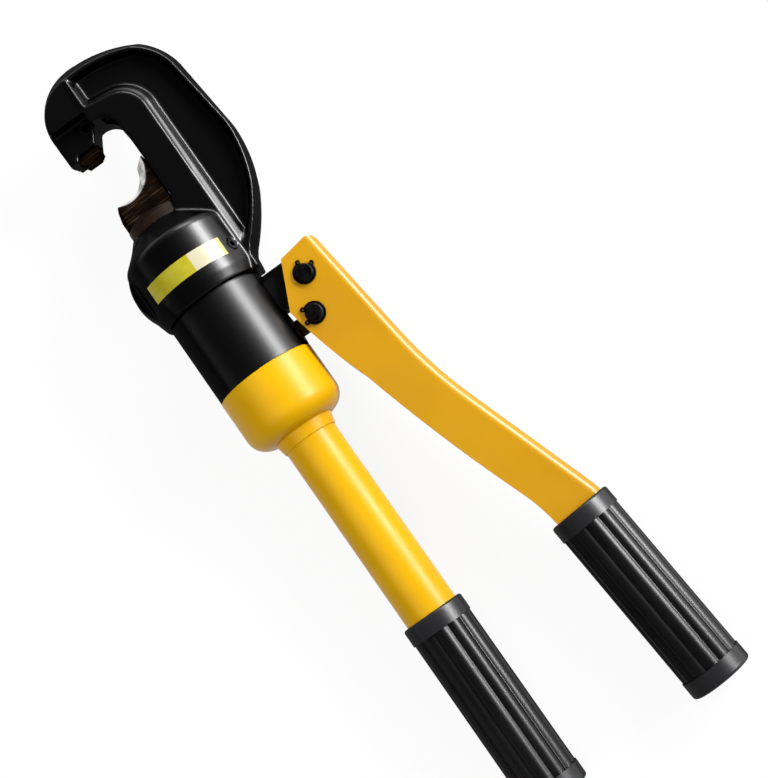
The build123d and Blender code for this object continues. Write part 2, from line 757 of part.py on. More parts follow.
# Slot for the fixed blade
blade_slot = [(fixed_blade_left, jaw_clear), (fixed_blade_left, fixed_blade_top),
              (fixed_blade_heel[0], fixed_blade_top), fixed_blade_heel, (fixed_blade_right, fixed_blade_step),
              (fixed_blade_right, jaw_clear)]
# Collar with a tapered rear, a rounded front edge and a coned face
collar_outline = [(0.0, collar_rear), (collar_rear_radius, collar_rear), (collar_radius, collar_taper_end),
                  (collar_radius, collar_round_start), (collar_front_radius, collar_front),
                  (ram_radius + guide_gap, cone_front), (0.0, cone_front)]
collar_bulges = {3: collar_round}

with BuildPart() as head:
    for side in (1, -1):
        parting = outline_face(Plane.XY, hook_outline, hook_bulges)
        ridge = outline_face(Plane.XY.offset(side * ridge_height), ridge_outline, ridge_bulges)
        loft([parting.face(), ridge.face()], ruled=True)
    extrude(outline_face(Plane.XY.offset(-band_height), band_outline, band_bulges), amount=2 * band_height)
    for side in (1, -1):
        floor = outline_face(Plane.XY.offset(side * hollow_floor_height), hollow_floor, hollow_floor_bulges)
        shoulder = outline_face(Plane.XY.offset(side * hollow_shoulder_height), hollow_shoulder,
                                hollow_shoulder_bulges)
        rim = outline_face(Plane.XY.offset(side * ridge_height), hollow_rim, hollow_rim_bulges)
        loft([floor.face(), shoulder.face(), rim.face()], ruled=True, mode=Mode.SUBTRACT)
    throat = outline_face(Plane.XY.offset(-through), throat_outline, throat_bulges)
    extrude(throat, amount=2 * through, mode=Mode.SUBTRACT)
    # Collar and its bores
    revolve(outline_face(Plane.XY, collar_outline, collar_bulges), axis=Axis.Y)
    drum(across(0), spigot_radius, collar_rear, spigot_seat, Mode.SUBTRACT)
    drum(across(0), ram_radius + guide_gap, spigot_seat, guide_bore_front, Mode.SUBTRACT)
    # Jaw: flat, relief and horn pocket above, blade slot below, blade screw
    extrude(outline_face(Plane.XY.offset(jaw_flat_height), jaw_flat, {}), amount=through, mode=Mode.SUBTRACT)
    extrude(outline_face(Plane.XY, jaw_relief, {}), amount=through, mode=Mode.SUBTRACT)
    extrude(outline_face(Plane.XY, horn_room, {}), amount=shear_gap + blade_thickness + horn_room_gap,
            mode=Mode.SUBTRACT)
    extrude(outline_face(Plane.XY, blade_slot, {}), amount=-blade_thickness - guide_gap, mode=Mode.SUBTRACT)
    drum(upright(jaw_screw_at), jaw_screw_radius, 0, jaw_flat_height, Mode.SUBTRACT)
    drum(upright(jaw_screw_at), jaw_screw_radius + jaw_recess_depth, jaw_flat_height - jaw_recess_depth,
         jaw_flat_height, Mode.SUBTRACT)
    # Holes of the lock screw and the ram guide screw
    lock_plane = radial(lock_screw_angle, lock_screw_station)
    guide_plane = radial(180, guide_screw_station)
    drum(lock_plane, head_screw_radius, ram_radius, screw_reach, Mode.SUBTRACT)
    drum(guide_plane, head_screw_radius, dog_tip, screw_reach, Mode.SUBTRACT)
finish(head.part, "head")

# Head screws
finish(grub_screw(lock_plane, head_screw_radius, spigot_radius, lock_screw_end, head_screw_key),
       "head_lock_screw")
finish(grub_screw(upright(jaw_screw_at), jaw_screw_radius, 0, jaw_screw_end, jaw_screw_key),
       "fixed_blade_screw")

with BuildPart() as guide_screw:
    drum(guide_plane, head_screw_radius, ram_radius + guide_gap, guide_screw_end)
    drum(guide_plane, dog_radius, dog_tip, ram_radius + guide_gap)
    hex_recess(guide_plane.offset(guide_screw_end), head_screw_key, -key_depth)
finish(guide_screw.part, "ram_guide_screw")

# Blank sticker on the collar
with BuildPart() as label:
    label_edge = radians(label_from)
    label_plane = Plane(origin=(0, 0, 0), x_dir=(cos(label_edge), 0, sin(label_edge)),
                        z_dir=(-sin(label_edge), 0, cos(label_edge)))
    with BuildSketch(label_plane) as label_section:
        Polygon((collar_radius, label_start), (collar_radius + label_thickness, label_start),
                (collar_radius + label_thickness, label_end), (collar_radius, label_end), align=None)
    revolve(label_section.sketch, axis=Axis((0, 0, 0), (0, -1, 0)), revolution_arc=label_sweep)
finish(label.part, "blank_label")

# Ram: hollow plunger with a seal groove, a guide slot and a tongue that carries the moving blade
ram_seal_end = ram_seal_start + ram_seal_width + backup_ring_width
slot_half = dog_radius + slot_side_gap
slot_floor = dog_tip - slot_floor_gap
slot_start = guide_screw_station - ram_stroke - slot_half - slot_end_gap
slot_end = guide_screw_station + slot_half + slot_end_gap
with BuildPart() as ram:
    drum(across(0), ram_radius, ram_rear, ram_front)
    chamfer(ram.edges().filter_by(GeomType.CIRCLE).sort_by(Axis.Y)[-1:], ram_edge)
    drum(across(0), ram_hollow_radius, ram_rear, ram_hollow_end, Mode.SUBTRACT)
    lathe([(ram_seal_radius, ram_seal_start), (ram_radius, ram_seal_start), (ram_radius, ram_seal_end),
           (ram_seal_radius, ram_seal_end)], Mode.SUBTRACT)
    with BuildSketch(radial(180, (slot_start + slot_end) / 2).offset(slot_floor)) as guide_slot:
        Rectangle(slot_end - slot_start, 2 * slot_half)
    extrude(guide_slot.sketch, amount=ram_radius, mode=Mode.SUBTRACT)
    with BuildSketch(Plane.XY.offset(shear_gap)) as tongue:
        with Locations((0, (ram_front + tongue_top) / 2)):
            Rectangle(2 * tongue_half, tongue_top - ram_front)
    extrude(tongue.sketch, amount=-tongue_depth)
    drum(upright(blade_screw_at), blade_screw_radius + guide_gap, -tongue_depth, shear_gap, Mode.SUBTRACT)
    drum(upright(blade_screw_at), blade_screw_head + guide_gap, -tongue_depth, blade_screw_seat,
         Mode.SUBTRACT)
finish(ram.part, "ram")
finish(ring(ram_seal_radius, ram_radius, ram_seal_start, ram_seal_start + ram_seal_width), "ram_seal")
finish(ring(ram_seal_radius, ram_radius, ram_seal_start + ram_seal_width, ram_seal_end),
       "ram_seal_backup_ring")

# Moving blade: horned shear blade, rounded to the ram, with a coned bevel above its cutting edge that
# widens towards the horn
horn_drop = notch_centre[1] - horn_lip
horn_tip = (notch_centre[0] + sqrt(notch_radius ** 2 - horn_drop ** 2), horn_lip)
notch_bottom = (notch_centre[0], notch_centre[1] - notch_radius)
notch_diagonal = notch_radius * cos(pi / 4)
moving_outline = [(blade_left, ram_front), (horn_right, ram_front), (horn_right, horn_top), horn_tip,
                  notch_bottom, (-13.0, 385.4), (-14.6, 383.0), (blade_left, 378.0)]
moving_bulges = {3: (notch_centre[0] + notch_diagonal, notch_centre[1] - notch_diagonal)}
with BuildPart() as moving_blade:
    extrude(outline_face(Plane.XY.offset(shear_gap), moving_outline, moving_bulges), amount=blade_thickness)
    drum(across(0), ram_radius - 2 * guide_gap, ram_front, horn_top, Mode.INTERSECT)
    with BuildSketch(Plane.XY.offset(shear_gap + bevel_land)) as bevel_small:
        with Locations(notch_centre):
            Circle(notch_radius)
    with BuildSketch(Plane.XY.offset(shear_gap + blade_thickness)) as bevel_large:
        with Locations(bevel_centre):
            Circle(bevel_radius)
    loft([bevel_small.sketch.face(), bevel_large.sketch.face()], ruled=True, mode=Mode.SUBTRACT)
    drum(upright(blade_screw_at), blade_screw_radius, shear_gap, blade_thread_end, Mode.SUBTRACT)
finish(moving_blade.part, "moving_blade")

with BuildPart() as blade_screw:
    drum(upright(blade_screw_at), blade_screw_radius, blade_screw_seat, blade_screw_tip)
    drum(upright(blade_screw_at), blade_screw_head, blade_screw_foot, blade_screw_seat)
    hex_recess(Plane(origin=(*blade_screw_at, blade_screw_foot)), blade_screw_key, key_depth)
finish(blade_screw.part, "moving_blade_screw")

# Fixed blade, standing in the jaw's slot
fixed_outline = [(fixed_blade_left, fixed_blade_top),
                 (fixed_blade_left, fixed_blade_edge + fixed_corner_left[1]),
                 (fixed_blade_left + fixed_corner_left[0], fixed_blade_edge),
                 (fixed_blade_right - fixed_corner_right[0], fixed_blade_edge),
                 (fixed_blade_right, fixed_blade_edge + fixed_corner_right[1]),
                 (fixed_blade_right, fixed_blade_step), fixed_blade_heel,
                 (fixed_blade_heel[0], fixed_blade_top)]
with BuildPart() as fixed_blade:
    extrude(outline_face(Plane.XY, fixed_outline, {}), amount=-blade_thickness)
finish(fixed_blade.part, "fixed_blade")

# Return spring inside the ram, with a stud at each end
with BuildPart() as rear_anchor:
    lathe([(0, bore_bottom - anchor_depth), (anchor_shank, bore_bottom - anchor_depth),
           (anchor_shank, bore_bottom), (stud_radius + anchor_rim, bore_bottom),
           (stud_radius + anchor_rim, bore_bottom + anchor_shoulder),
           (stud_radius, bore_bottom + anchor_shoulder), (stud_radius, spring_start + spring_grip),
           (0, spring_start + spring_grip)])
finish(rear_anchor.part, "spring_rear_anchor")

with BuildPart() as front_anchor:
    flange_start = spring_end + front_anchor_gap
    lathe([(0, spring_end - spring_grip), (stud_radius, spring_end - spring_grip),
           (stud_radius, flange_start), (ram_hollow_radius, flange_start),
           (ram_hollow_radius, ram_hollow_end), (0, ram_hollow_end)])
finish(front_anchor.part, "spring_front_anchor")
finish(coil(across(spring_start), spring_mean_radius, spring_wire, spring_pitch, spring_turns),
       "ram_return_spring")


def lever_heading(lean):
    return Vector(sin(radians(lean)), -cos(radians(lean)))


def channel_section(at, lean, inset, half, bend):
    """Section of the channel square to its back: rounded at the back, open-ended towards the fixed handle."""
    inward = (-cos(radians(lean)), -sin(radians(lean)), 0)
    along = lever_heading(lean)
    with BuildSketch(Plane(origin=(at.X, at.Y, 0), x_dir=inward, z_dir=(along.X, along.Y, 0))) as section:
        with Locations(((inset + lever_depth) / 2, 0)):
            Rectangle(lever_depth - inset, 2 * half)
        fillet(section.vertices().group_by(Axis.X)[0], bend)
    return section.sketch


def channel_solid(inset):
    """Solid within the channel's back, set in by the given amount on every side."""
    half, tail_half, bend = lever_half - inset, lever_tail_half - inset, lever_bend - inset
    shin_lean = back_lean + knee_turn
    with BuildPart() as solid:
        with BuildLine() as upper_back:
            start = Vector(*back_top)
            knee_start = start + lever_heading(back_lean) * back_run
            Line(start, knee_start)
            knee = JernArc(knee_start, lever_heading(back_lean), knee_radius, knee_turn)
        sweep(channel_section(start, back_lean, inset, half, bend), path=upper_back.wire())
        knee_end = knee @ 1
        ankle_start = knee_end + lever_heading(shin_lean) * shin_run
        loft([channel_section(knee_end, shin_lean, inset, half, bend).face(),
              channel_section(ankle_start, shin_lean, inset, tail_half, bend).face()], ruled=True)
        with BuildLine() as tail_back:
            ankle = JernArc(ankle_start, lever_heading(shin_lean), ankle_radius, tail_lean - shin_lean)
            Line(ankle @ 1, (ankle @ 1) + lever_heading(tail_lean) * tail_run)
        sweep(channel_section(ankle_start, shin_lean, inset, tail_half, bend), path=tail_back.wire())
    return solid.part


# Lever: channel trimmed to its side view, with a tube welded into its tail for the grip
lever_outline = [(42.7, 309.9), (57.6, 312.3), (64.9, 307.6), (90.0, 300.0), (130.0, 120.0), (130.0, 90.0),
                 (80.9, 90.0), (80.1, 112.3), (73.7, 137.9), (43.3, 235.0), (30.4, 283.5)]
lever_bulges = {1: (62.6, 311.5), 7: (77.4, 126.5), 8: (57.0, 187.0), 9: (35.6, 259.4)}
lever_grip_plane = Plane(origin=(*lever_grip_mouth, 0),
                         x_dir=(cos(radians(tail_lean)), sin(radians(tail_lean)), 0),
                         z_dir=(sin(radians(tail_lean)), -cos(radians(tail_lean)), 0))
channel_outside = channel_solid(0.0)
channel_inside = channel_solid(lever_sheet)
with BuildPart() as lever:
    add(channel_outside)
    add(channel_inside, mode=Mode.SUBTRACT)
    extrude(outline_face(Plane.XY.offset(-through), lever_outline, lever_bulges), amount=2 * through,
            mode=Mode.INTERSECT)
    with BuildSketch(lever_grip_plane) as tail_trim:
        Circle(3 * tail_radius)
        Circle(tail_radius, mode=Mode.SUBTRACT)
    extrude(tail_trim.sketch, amount=through, mode=Mode.SUBTRACT)
    with BuildSketch(lever_grip_plane.offset(tail_tube_start)) as tail_tube:
        Circle(tail_radius)
        Circle(tail_radius - lever_sheet, mode=Mode.SUBTRACT)
    extrude(tail_tube.sketch, amount=tail_tube_length)
    for hole in (pivot, plunger_at):
        drum(upright(hole), pin_radius, -through, through, Mode.SUBTRACT)
finish(lever.part, "pump_lever")

lever_grip_end = lever_grip_plane.offset(grip_length).origin
finish(grip_moulding().rotate(Axis.Z, tail_lean).translate(lever_grip_end), "lever_grip")

# Pins, clips and side washers
for pin_at, gap_angle, pin_name, clip_name in ((pivot, 54, "lever_pivot_pin", "pivot_pin_clips"),
                                               (plunger_at, 166, "plunger_pin", "plunger_pin_clips")):
    finish(grooved_pin(pin_at), pin_name)
    upper_clip = circlip(pin_at, clip_height, gap_angle)
    lower_clip = circlip(pin_at, -clip_height - clip_thickness, gap_angle)
    with BuildPart() as clips:
        add([upper_clip, lower_clip])
    finish(clips.part, clip_name)

with BuildPart() as washers:
    for side in (1, -1):
        with BuildSketch(Plane(origin=(*pivot, side * (lug_half + washer_gap)))) as washer:
            Circle(washer_radius)
            Circle(pin_radius + running_gap, mode=Mode.SUBTRACT)
        extrude(washer.sketch, amount=side * (lever_half - lever_sheet - lug_half - 2 * washer_gap))
finish(washers.part, "lever_side_washers")

# Pump plunger: round rod with a slotted eye for its pin
with BuildPart() as plunger:
    slot_radius = pin_radius + slot_play
    drum(pump_plane, plunger_radius, plunger_inner_end, plunger_at[0])
    chamfer(plunger.edges().filter_by(GeomType.CIRCLE).sort_by(Axis.X)[:1], plunger_edge)
    eye_plane = Plane(origin=(plunger_at[0], plunger_at[1] + eye_shift, -eye_half))
    with BuildSketch(eye_plane) as eye:
        SlotCenterToCenter(pin_drift, 2 * (slot_radius + eye_wall), rotation=90)
    extrude(eye.sketch, amount=2 * eye_half)
    with BuildSketch(eye_plane) as eye_slot:
        SlotCenterToCenter(pin_drift, 2 * slot_radius, rotation=90)
    extrude(eye_slot.sketch, amount=2 * eye_half, mode=Mode.SUBTRACT)
finish(plunger.part, "pump_plunger")
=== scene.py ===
"""Looks of the hand-pumped rebar cutter: finishes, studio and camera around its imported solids."""
import json
from math import hypot, radians

import bmesh
import bpy
from mathutils import Matrix, Vector


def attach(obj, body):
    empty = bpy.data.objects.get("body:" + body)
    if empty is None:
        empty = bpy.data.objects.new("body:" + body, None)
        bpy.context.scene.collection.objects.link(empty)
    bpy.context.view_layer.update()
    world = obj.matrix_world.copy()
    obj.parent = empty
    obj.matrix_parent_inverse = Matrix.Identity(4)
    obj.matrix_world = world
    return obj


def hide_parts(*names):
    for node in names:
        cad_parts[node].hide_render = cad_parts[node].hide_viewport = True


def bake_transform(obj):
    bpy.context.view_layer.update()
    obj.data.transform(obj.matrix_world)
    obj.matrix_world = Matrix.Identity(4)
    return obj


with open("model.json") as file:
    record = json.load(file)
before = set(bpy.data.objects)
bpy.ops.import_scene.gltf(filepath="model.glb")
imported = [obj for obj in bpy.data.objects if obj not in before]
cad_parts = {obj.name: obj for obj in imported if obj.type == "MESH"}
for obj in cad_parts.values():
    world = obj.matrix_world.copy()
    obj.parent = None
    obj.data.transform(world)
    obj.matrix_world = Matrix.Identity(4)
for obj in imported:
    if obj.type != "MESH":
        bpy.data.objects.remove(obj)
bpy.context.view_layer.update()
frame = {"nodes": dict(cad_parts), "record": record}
nodes = frame["nodes"]


# Small helpers for the finishes

def tone(red, green, blue):
    """A colour given as a screen shows it, in the light values that a shader takes."""
    linear = [c / 255 / 12.92 if c <= 10 else ((c / 255 + 0.055) / 1.055) ** 2.4 for c in (red, green, blue)]
    return (*linear, 1.0)


def new_finish(name):
    finish = bpy.data.materials.new(name)
    finish.use_nodes = True
    return finish, finish.node_tree, finish.node_tree.nodes["Principled BSDF"]


def place(tree, stretch=(1, 1, 1), turn=(0, 0, 0)):
    """Object coordinates, stretched or turned for a pattern that runs one way."""
    source = tree.nodes.new("ShaderNodeTexCoord")
    mapping = tree.nodes.new("ShaderNodeMapping")
    mapping.inputs["Scale"].default_value = stretch
    mapping.inputs["Rotation"].default_value = turn
    tree.links.new(source.outputs["Object"], mapping.inputs["Vector"])
    return mapping.outputs["Vector"]


def mottle(tree, scale, detail=3.0, roughness=0.55, stretch=(1, 1, 1), turn=(0, 0, 0)):
    noise = tree.nodes.new("ShaderNodeTexNoise")
    noise.inputs["Scale"].default_value = scale
    noise.inputs["Detail"].default_value = detail
    noise.inputs["Roughness"].default_value = roughness
    tree.links.new(place(tree, stretch, turn), noise.inputs["Vector"])
    return noise.outputs["Fac"]


def span(tree, source, low, high, out_low=0.0, out_high=1.0):
    """A value read between low and high and given again between two others, with soft ends."""
    node = tree.nodes.new("ShaderNodeMapRange")
    node.interpolation_type = "SMOOTHSTEP"
    node.inputs["From Min"].default_value = low
    node.inputs["From Max"].default_value = high
    node.inputs["To Min"].default_value = out_low
    node.inputs["To Max"].default_value = out_high
    tree.links.new(source, node.inputs["Value"])
    return node.outputs["Result"]


def combine(tree, how, *values):
    node = tree.nodes.new("ShaderNodeMath")
    node.operation = how
    for socket, value in zip(node.inputs, values):
        if isinstance(value, (int, float)):
            socket.default_value = value
        else:
            tree.links.new(value, socket)
    return node.outputs["Value"]


def mix(tree, share, first, second):
    """Two colours, or a colour and what comes before it, blended by a share."""
    node = tree.nodes.new("ShaderNodeMix")
    node.data_type = "RGBA"
    tree.links.new(share, node.inputs[0])
    for socket, value in ((node.inputs[6], first), (node.inputs[7], second)):
        if isinstance(value, tuple):
            socket.default_value = value
        else:
            tree.links.new(value, socket)
    return node.outputs[2]


def relief(tree, shader, height, strength, depth):
    node = tree.nodes.new("ShaderNodeBump")
    node.inputs["Strength"].default_value = strength
    node.inputs["Distance"].default_value = depth
    tree.links.new(height, node.inputs["Height"])
    tree.links.new(node.outputs["Normal"], shader.inputs["Normal"])


def axis_values(tree):
    """The object coordinates as three values."""
    split = tree.nodes.new("ShaderNodeSeparateXYZ")
    tree.links.new(place(tree), split.inputs["Vector"])
    return split.outputs["X"], split.outputs["Y"], split.outputs["Z"]


def lacquer(tree, shader, walls, roughness, height, strength):
    """A clear coat over a base without shine of its own. The coat is thin on upright walls and on the far
    side from the lamps, which paints shade there.
    """
    # This axis leans toward the lamps, so the side away from them loses its coat: painted shade.
    coated_side = (0.24, 0.0, 0.97)
    thin_at, full_at = 0.56, 0.80
    source = tree.nodes.new("ShaderNodeTexCoord")
    lean = tree.nodes.new("ShaderNodeVectorMath")
    lean.operation = "DOT_PRODUCT"
    lean.inputs[1].default_value = coated_side
    tree.links.new(source.outputs["Normal"], lean.inputs[0])
    facing = combine(tree, "ABSOLUTE", lean.outputs["Value"])
    tree.links.new(span(tree, facing, thin_at, full_at, walls, 1.0), shader.inputs["Coat Weight"])
    shader.inputs["Coat Roughness"].default_value = roughness
    shader.inputs["Coat IOR"].default_value = 1.5
    shader.inputs["Specular IOR Level"].default_value = 0.0
    relief(tree, shader, height, strength, 0.0002)
    tree.links.new(shader.inputs["Normal"].links[0].from_socket, shader.inputs["Coat Normal"])


def distance_from(tree, along, across, centre):
    """How far a point is from an upright axis through the centre."""
    sides = [combine(tree, "SUBTRACT", value, middle) for value, middle in zip((along, across), centre)]
    squares = [combine(tree, "MULTIPLY", side, side) for side in sides]
    return combine(tree, "SQRT", combine(tree, "ADD", *squares))


# Finishes

def yellow_enamel(name, first, second, roughness, shine):
    finish, tree, shader = new_finish(name)
    cloud = span(tree, mottle(tree, 18, 2.0), 0.35, 0.65)
    tree.links.new(mix(tree, cloud, first, second), shader.inputs["Base Color"])
    dullness = span(tree, mottle(tree, 60, 3.0), 0.3, 0.7, roughness, roughness + 0.06)
    tree.links.new(dullness, shader.inputs["Roughness"])
    relief(tree, shader, mottle(tree, 520, 1.0), 0.03, 0.0002)
    shader.inputs["Specular IOR Level"].default_value = shine
    return finish


def black_enamel(name, gloss, walls, grain, grain_scale):
    finish, tree, shader = new_finish(name)
    cloud = span(tree, mottle(tree, 25, 3.0), 0.35, 0.7)
    tree.links.new(mix(tree, cloud, tone(1, 1, 1), tone(4, 3, 4)), shader.inputs["Base Color"])
    tree.links.new(span(tree, mottle(tree, 140, 4.0), 0.3, 0.7, 0.6, 0.7), shader.inputs["Roughness"])
    lacquer(tree, shader, walls, gloss, mottle(tree, grain_scale, 2.0), grain)
    return finish


def plain_metal(name, light, dark, roughness, stretch, metallic=1.0, shine=0.5):
    finish, tree, shader = new_finish(name)
    lines = mottle(tree, 260, 4.0, 0.6, stretch)
    tree.links.new(mix(tree, span(tree, lines, 0.3, 0.7), dark, light), shader.inputs["Base Color"])
    tree.links.new(span(tree, lines, 0.3, 0.7, roughness, roughness + 0.12), shader.inputs["Roughness"])
    shader.inputs["Metallic"].default_value = metallic
    shader.inputs["Specular IOR Level"].default_value = shine
    relief(tree, shader, lines, 0.08, 0.0001)
    return finish


def oiled_blade():
    """Brown oiled tool steel with grinding lines, ground bright on the skewed bevel of the notch."""
    bevel_foot, bevel_height = 0.0035, 0.0075
    foot_x, foot_y, foot_radius = -0.0065, 0.4003, 0.0132
    skew_x, skew_y, widening = 0.0015, 0.0009, 0.0044
    finish, tree, shader = new_finish("oiled_blade_steel")
    x, y, z = axis_values(tree)
    climb = combine(tree, "MULTIPLY_ADD", z, 1 / bevel_height, -bevel_foot / bevel_height)
    climb = combine(tree, "MINIMUM", combine(tree, "MAXIMUM", climb, 0.0), 1.0)
    centre = (combine(tree, "MULTIPLY_ADD", climb, skew_x, foot_x),
              combine(tree, "MULTIPLY_ADD", climb, skew_y, foot_y))
    radius = combine(tree, "MULTIPLY_ADD", climb, widening, foot_radius)
    reach = distance_from(tree, x, y, centre)
    ground = span(tree, combine(tree, "SUBTRACT", reach, radius), 0.0002, 0.0005, 1.0, 0.0)
    lines = mottle(tree, 300, 4.0, 0.6, (0.12, 4, 1), (0, 0, radians(4)))
    stain = span(tree, mottle(tree, 60, 4.0), 0.35, 0.7)
    oil = mix(tree, stain, tone(16, 10, 7), tone(32, 21, 13))
    streaked = mix(tree, span(tree, lines, 0.54, 0.72), oil, tone(88, 70, 50))
    streaks = mottle(tree, 70, 2.0, 0.5, (2, 2, 0.3))
    bright = mix(tree, span(tree, streaks, 0.35, 0.65), tone(96, 94, 92), tone(236, 233, 229))
    tree.links.new(mix(tree, ground, streaked, bright), shader.inputs["Base Color"])
    tree.links.new(span(tree, ground, 0.0, 1.0, 0.55, 0.22), shader.inputs["Roughness"])
    tree.links.new(span(tree, ground, 0.0, 1.0), shader.inputs["Metallic"])
    shader.inputs["Specular IOR Level"].default_value = 0.0
    relief(tree, shader, lines, 0.15, 0.0002)
    return finish


def grip_moulding(name, heading, end):
    """Black moulding, paler on the plain collars; the heading runs along the grip from its closed end."""
    half_length = 0.0565
    flutes_end, collar_start = 0.0465, 0.0469
    finish, tree, shader = new_finish(name)
    along = tree.nodes.new("ShaderNodeVectorMath")
    along.operation = "DOT_PRODUCT"
    along.inputs[1].default_value = heading
    tree.links.new(place(tree), along.inputs[0])
    beyond_middle = combine(tree, "SUBTRACT", along.outputs["Value"], end + half_length)
    from_middle = combine(tree, "ABSOLUTE", beyond_middle)
    collar = span(tree, from_middle, flutes_end, collar_start)
    cloud = span(tree, mottle(tree, 40, 3.0), 0.35, 0.7)
    fluted = mix(tree, cloud, tone(12, 11, 12), tone(19, 17, 18))
    plain = mix(tree, cloud, tone(34, 34, 36), tone(40, 40, 42))
    tree.links.new(mix(tree, collar, fluted, plain), shader.inputs["Base Color"])
    tree.links.new(span(tree, mottle(tree, 90, 3.0), 0.3, 0.7, 0.6, 0.7), shader.inputs["Roughness"])
    lacquer(tree, shader, 0.15, 0.36, mottle(tree, 1400, 2.0), 0.03)
    return finish


def seal_rubber():
    finish, tree, shader = new_finish("seal_rubber")
    cloud = span(tree, mottle(tree, 120, 3.0), 0.3, 0.7)
    tree.links.new(mix(tree, cloud, tone(22, 22, 22), tone(34, 33, 32)), shader.inputs["Base Color"])
    tree.links.new(span(tree, cloud, 0.0, 1.0, 0.6, 0.75), shader.inputs["Roughness"])
    return finish


def label_film():
    """Yellow film with a pale panel on the lever's side, yellower again at its end."""
    panel_edge, last_edge = (0.0040, 0.0048), (0.0205, 0.0212)
    finish, tree, shader = new_finish("label_film")
    along, _, _ = axis_values(tree)
    panel = span(tree, along, *panel_edge)
    end = span(tree, along, *last_edge)
    soil = span(tree, mottle(tree, 200, 3.0), 0.35, 0.75)
    film = mix(tree, soil, tone(190, 178, 30), tone(200, 188, 42))
    pale = mix(tree, panel, film, tone(214, 208, 176))
    tree.links.new(mix(tree, end, pale, tone(210, 198, 104)), shader.inputs["Base Color"])
    tree.links.new(span(tree, soil, 0.0, 1.0, 0.28, 0.4), shader.inputs["Roughness"])
    return finish


yellow = yellow_enamel("yellow_enamel", tone(236, 178, 0), tone(242, 184, 0), 0.34, 0.22)
# The lever is the same yellow enamel as the bell and tube; its darker tone is painted shade for the dimmer
# light on the lever's flat side.
lever_yellow_painted_shade = yellow_enamel("lever_yellow_painted_shade", tone(205, 148, 0), tone(211, 154, 0), 0.31, 0.40)
body_black = black_enamel("satin_black_enamel", 0.38, 0.05, 0.05, 700)
forged_black = black_enamel("forged_black", 0.30, 0.06, 0.06, 420)
grip_black = grip_moulding("grip_moulding", (0.0, 1.0, 0.0), 0.0)
lever_grip_black = grip_moulding("lever_grip_moulding", (-0.0771, 0.997, 0.0), -0.0073)
blade_steel = oiled_blade()
oiled_steel = plain_metal("oiled_dark_steel", tone(46, 34, 24), tone(18, 12, 9), 0.5, (0.2, 6, 1),
                          metallic=0.0, shine=0.06)
oxide = plain_metal("black_oxide", tone(44, 44, 46), tone(26, 26, 27), 0.36, (1, 1, 1))
worn_oxide = plain_metal("worn_oxide", tone(64, 63, 63), tone(40, 40, 40), 0.36, (1, 1, 1))
turned = plain_metal("turned_steel", tone(190, 190, 188), tone(150, 150, 148), 0.24, (1, 9, 1))
wire = plain_metal("drawn_wire", tone(150, 150, 152), tone(112, 112, 116), 0.3, (3, 3, 3))
polished = plain_metal("polished_ball", tone(228, 228, 230), tone(206, 206, 210), 0.08, (1, 1, 1))
bronze = plain_metal("bush_bronze", tone(196, 150, 84), tone(160, 116, 58), 0.3, (1, 1, 6))
rubber = seal_rubber()
film = label_film()

finish_of_slot = {
    "yellow_paint": yellow, "black_paint": body_black, "grip_plastic": grip_black,
    "blade_steel": blade_steel, "black_oxide": oxide, "machined_steel": turned,
    "spring_steel": wire, "ball_steel": polished, "bush_bronze": bronze,
    "seal_rubber": rubber, "label_film": film,
}
for subpart in frame["record"]["subparts"]:
    node = nodes[subpart["node"]]
    node.data.materials.clear()
    node.data.materials.append(finish_of_slot[subpart["material_slot"]])
# The lever takes the darker yellow that paints its shade.
nodes["pump_lever"].data.materials[0] = lever_yellow_painted_shade
nodes["lever_grip"].data.materials[0] = lever_grip_black
nodes["head_lock_screw"].data.materials[0] = worn_oxide
for oiled in ("ram", "pump_plunger", "pump_gland_nut"):
    nodes[oiled].data.materials[0] = oiled_steel


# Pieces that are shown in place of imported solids

def merged_copy(node, name):
    """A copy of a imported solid's loose triangles, merged into one skin, and an empty mesh to hold it."""
    bm = bmesh.new()
    bm.from_mesh(nodes[node].data)
    bmesh.ops.remove_doubles(bm, verts=bm.verts, dist=1e-6)
    mesh = bpy.data.meshes.new(name)
    return bm, mesh


def show(bm, mesh, finish, node):
    """Puts a skin with its finish into the scene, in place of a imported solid."""
    bm.to_mesh(mesh)
    bm.free()
    mesh.materials.append(finish)
    piece = bpy.data.objects.new(mesh.name, mesh)
    bpy.context.scene.collection.objects.link(piece)
    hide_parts(node)
    return piece


def clear_horn_pocket(point):
    """Moves a point out of the pocket that the moving blade's horn enters at the end of its stroke."""
    low, high = (0.0074, 0.4030, -0.0013), (0.0151, 0.4347, 0.0118)
    x, y, z = range(3)
    if all(least < value < most for least, value, most in zip(low, point, high)):
        ways = [(high[x] - point.x, x, high[x]), (high[y] - point.y, y, high[y]),
                (point.z - low[z], z, low[z]), (high[z] - point.z, z, high[z])]
        _, axis, wall = min(ways)
        point[axis] = wall


def clear_ram_bore(point):
    """Moves a point out of the bore that the ram slides in."""
    bore, rear, front = 0.01775, 0.3384, 0.4041
    reach = hypot(point.x, point.z)
    if reach < bore and rear < point.y < front:
        if bore - reach < front - point.y:
            point.x, point.z = point.x * bore / reach, point.z * bore / reach
        else:
            point.y = front


